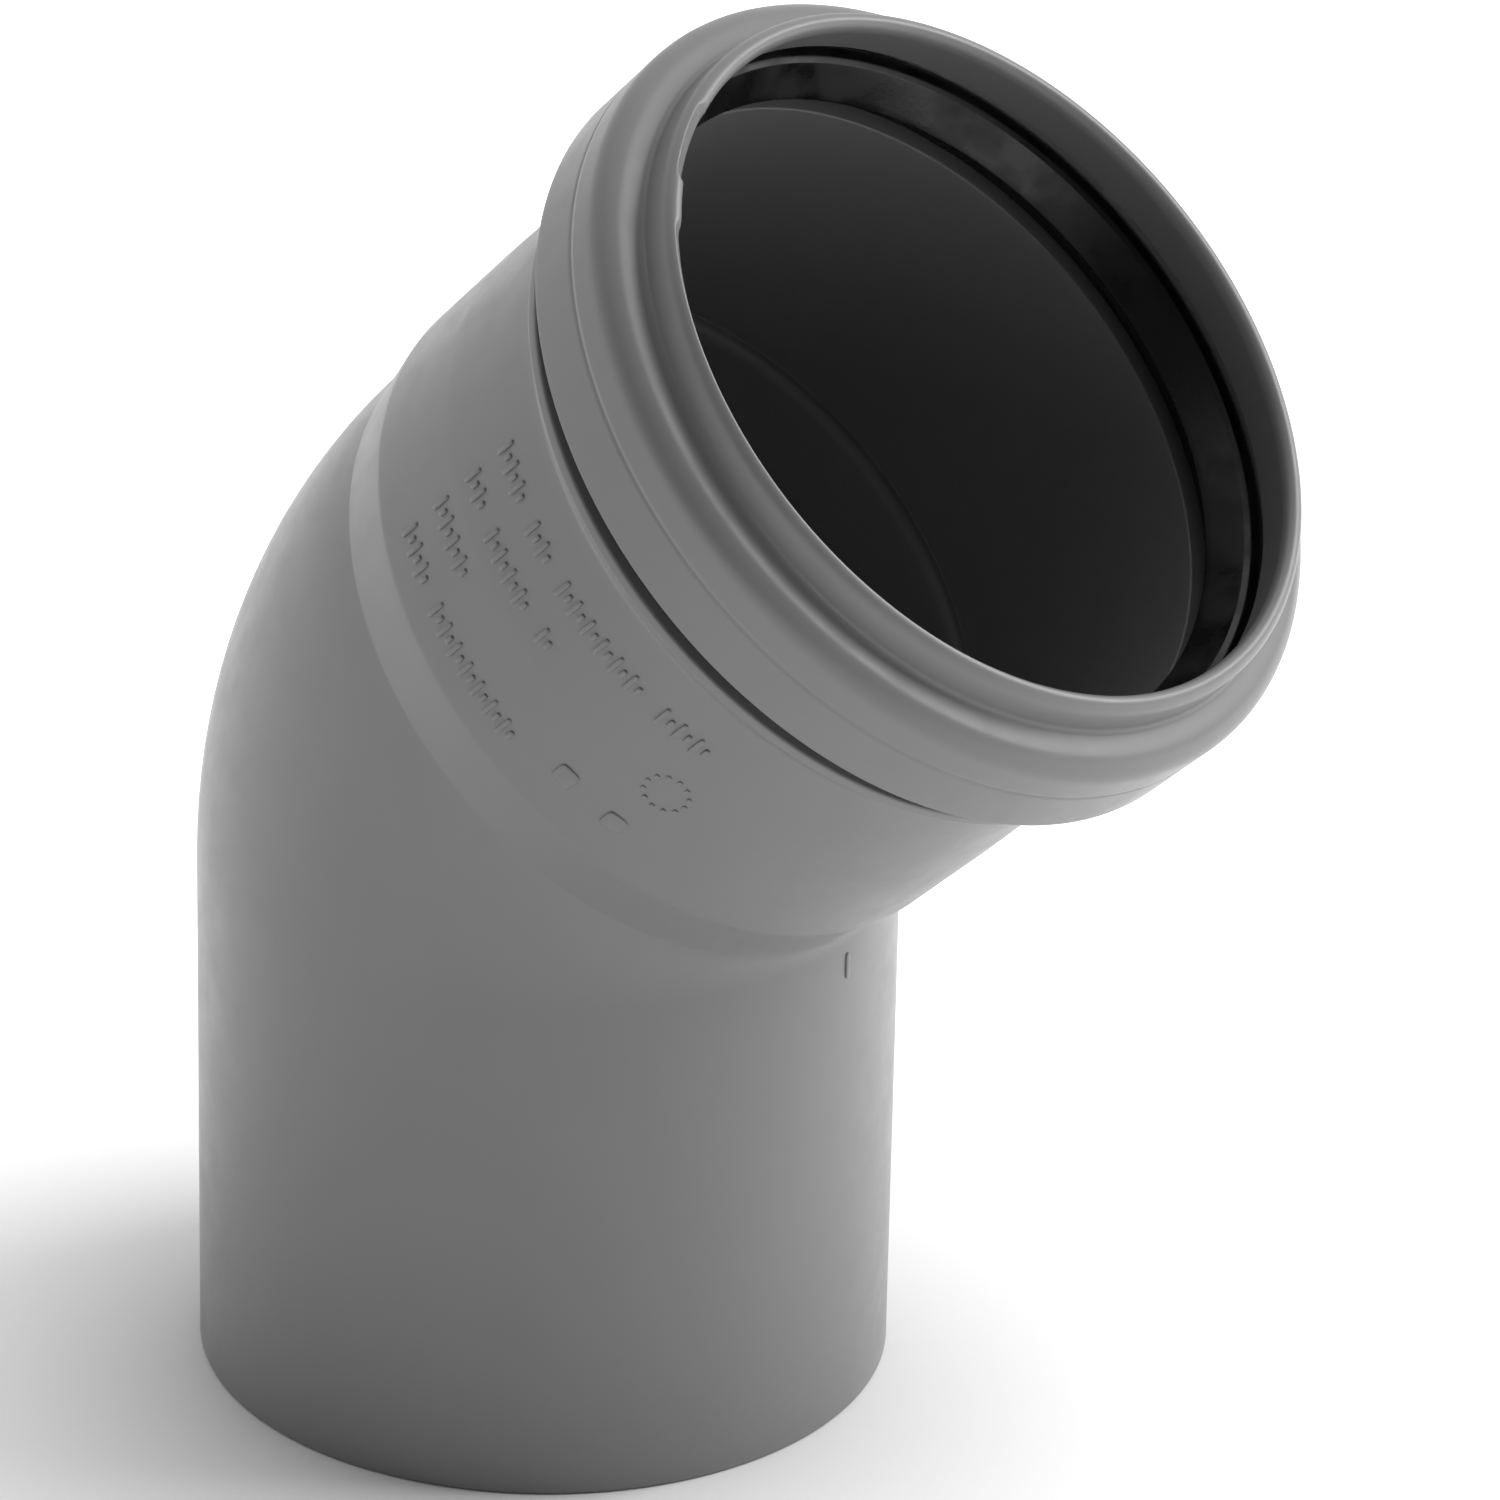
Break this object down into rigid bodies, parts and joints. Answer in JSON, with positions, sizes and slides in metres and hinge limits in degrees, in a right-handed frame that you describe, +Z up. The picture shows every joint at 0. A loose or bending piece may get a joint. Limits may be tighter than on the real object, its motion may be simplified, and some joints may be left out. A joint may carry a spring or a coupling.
{
  "type": "45 degree pipe elbow",
  "caption": "Grey 45 degree push-fit elbow for 75 mm waste pipe: plain spigot, socket with a separate retaining ring and a black lip seal.",
  "frame": {"origin": "on the plane of the spigot's end, below the middle of the fitting's bounding box; the spigot's axis is 22.5 mm towards -X from it", "axes": "+Z up along the spigot's axis away from its end; the socket leans 45 degrees towards +X; +Y across the fitting, whose two halves about the XZ plane are the same"},
  "size_m": [0.12, 0.0896, 0.1563],
  "materials": {
    "polypropylene": "injection-moulded grey polypropylene, satin",
    "epdm_rubber": "moulded black EPDM rubber, slightly shiny from lubricant"
  },
  "bodies": {
    "root": {"elbow_body": "polypropylene", "retaining_ring": "polypropylene", "lip_seal": "epdm_rubber"}
  },
  "joints": []
}
